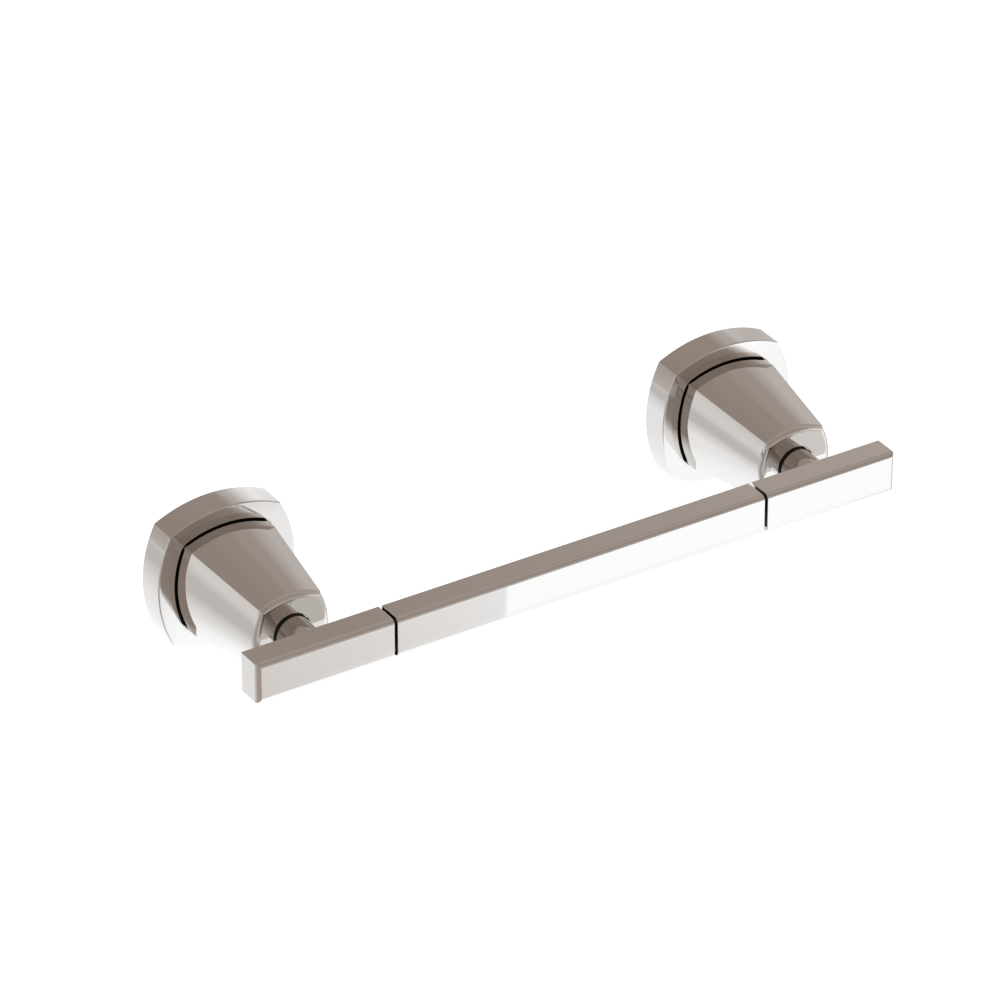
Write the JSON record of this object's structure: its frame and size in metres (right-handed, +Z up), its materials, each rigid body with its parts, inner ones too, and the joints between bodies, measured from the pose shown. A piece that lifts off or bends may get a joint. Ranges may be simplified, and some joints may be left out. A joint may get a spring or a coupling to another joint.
{
  "type": "toilet paper holder",
  "caption": "Wall-mounted toilet paper holder: cushion-square flanges and tapered posts carry a straight rectangular bar whose middle is a sprung roller.",
  "frame": {"origin": "on the wall plane, midway between the two posts, at the height of the bar's centre line", "axes": "+X along the bar to the right as seen from the room, +Y into the wall, +Z up"},
  "size_m": [0.2566, 0.0764, 0.0534],
  "materials": {
    "polished_nickel": "mirror-polished nickel plate",
    "steel": "turned",
    "zinc_plated_steel": "zinc plated",
    "black_rubber": "matt",
    "black_acetal": "moulded"
  },
  "bodies": {
    "bracket": {"left_wall_plate": "zinc_plated_steel", "left_hub": "zinc_plated_steel", "left_set_screw": "steel", "left_flange": "polished_nickel", "left_flange_gasket": "black_rubber", "left_post_body": "polished_nickel", "left_neck_washer": "black_rubber", "left_neck": "polished_nickel", "left_tie_bolt": "steel", "left_end_block": "polished_nickel", "left_socket_bush": "black_acetal", "right_wall_plate": "zinc_plated_steel", "right_hub": "zinc_plated_steel", "right_set_screw": "steel", "right_flange": "polished_nickel", "right_flange_gasket": "black_rubber", "right_post_body": "polished_nickel", "right_neck_washer": "black_rubber", "right_neck": "polished_nickel", "right_tie_bolt": "steel", "right_end_block": "polished_nickel", "right_socket_bush": "black_acetal"},
    "roller": {"roller_tube": "polished_nickel", "left_roller_plug": "black_acetal", "left_plunger_spring": "steel", "left_spring_cap": "black_acetal", "right_roller_plug": "black_acetal", "right_plunger_spring": "steel", "right_spring_cap": "black_acetal"},
    "left_pin": {"left_plunger": "steel"},
    "right_pin": {"right_plunger": "steel"}
  },
  "joints": [
    {"name": "roller_spin", "type": "hinge", "parent": "bracket", "child": "roller", "pos_m": [0, -0.0712, 0], "axis": [1, 0, 0], "continuous": true},
    {"name": "left_pin_press", "type": "slide", "parent": "roller", "child": "left_pin", "axis": [1, 0, 0], "range_m": [0, 0.0034], "stiffness_N_per_m": 1200, "springref_m": -0.005, "deforming": ["left_plunger_spring"]},
    {"name": "right_pin_press", "type": "slide", "parent": "roller", "child": "right_pin", "axis": [-1, 0, 0], "range_m": [0, 0.0034], "stiffness_N_per_m": 1200, "springref_m": -0.005, "deforming": ["right_plunger_spring"]}
  ]
}
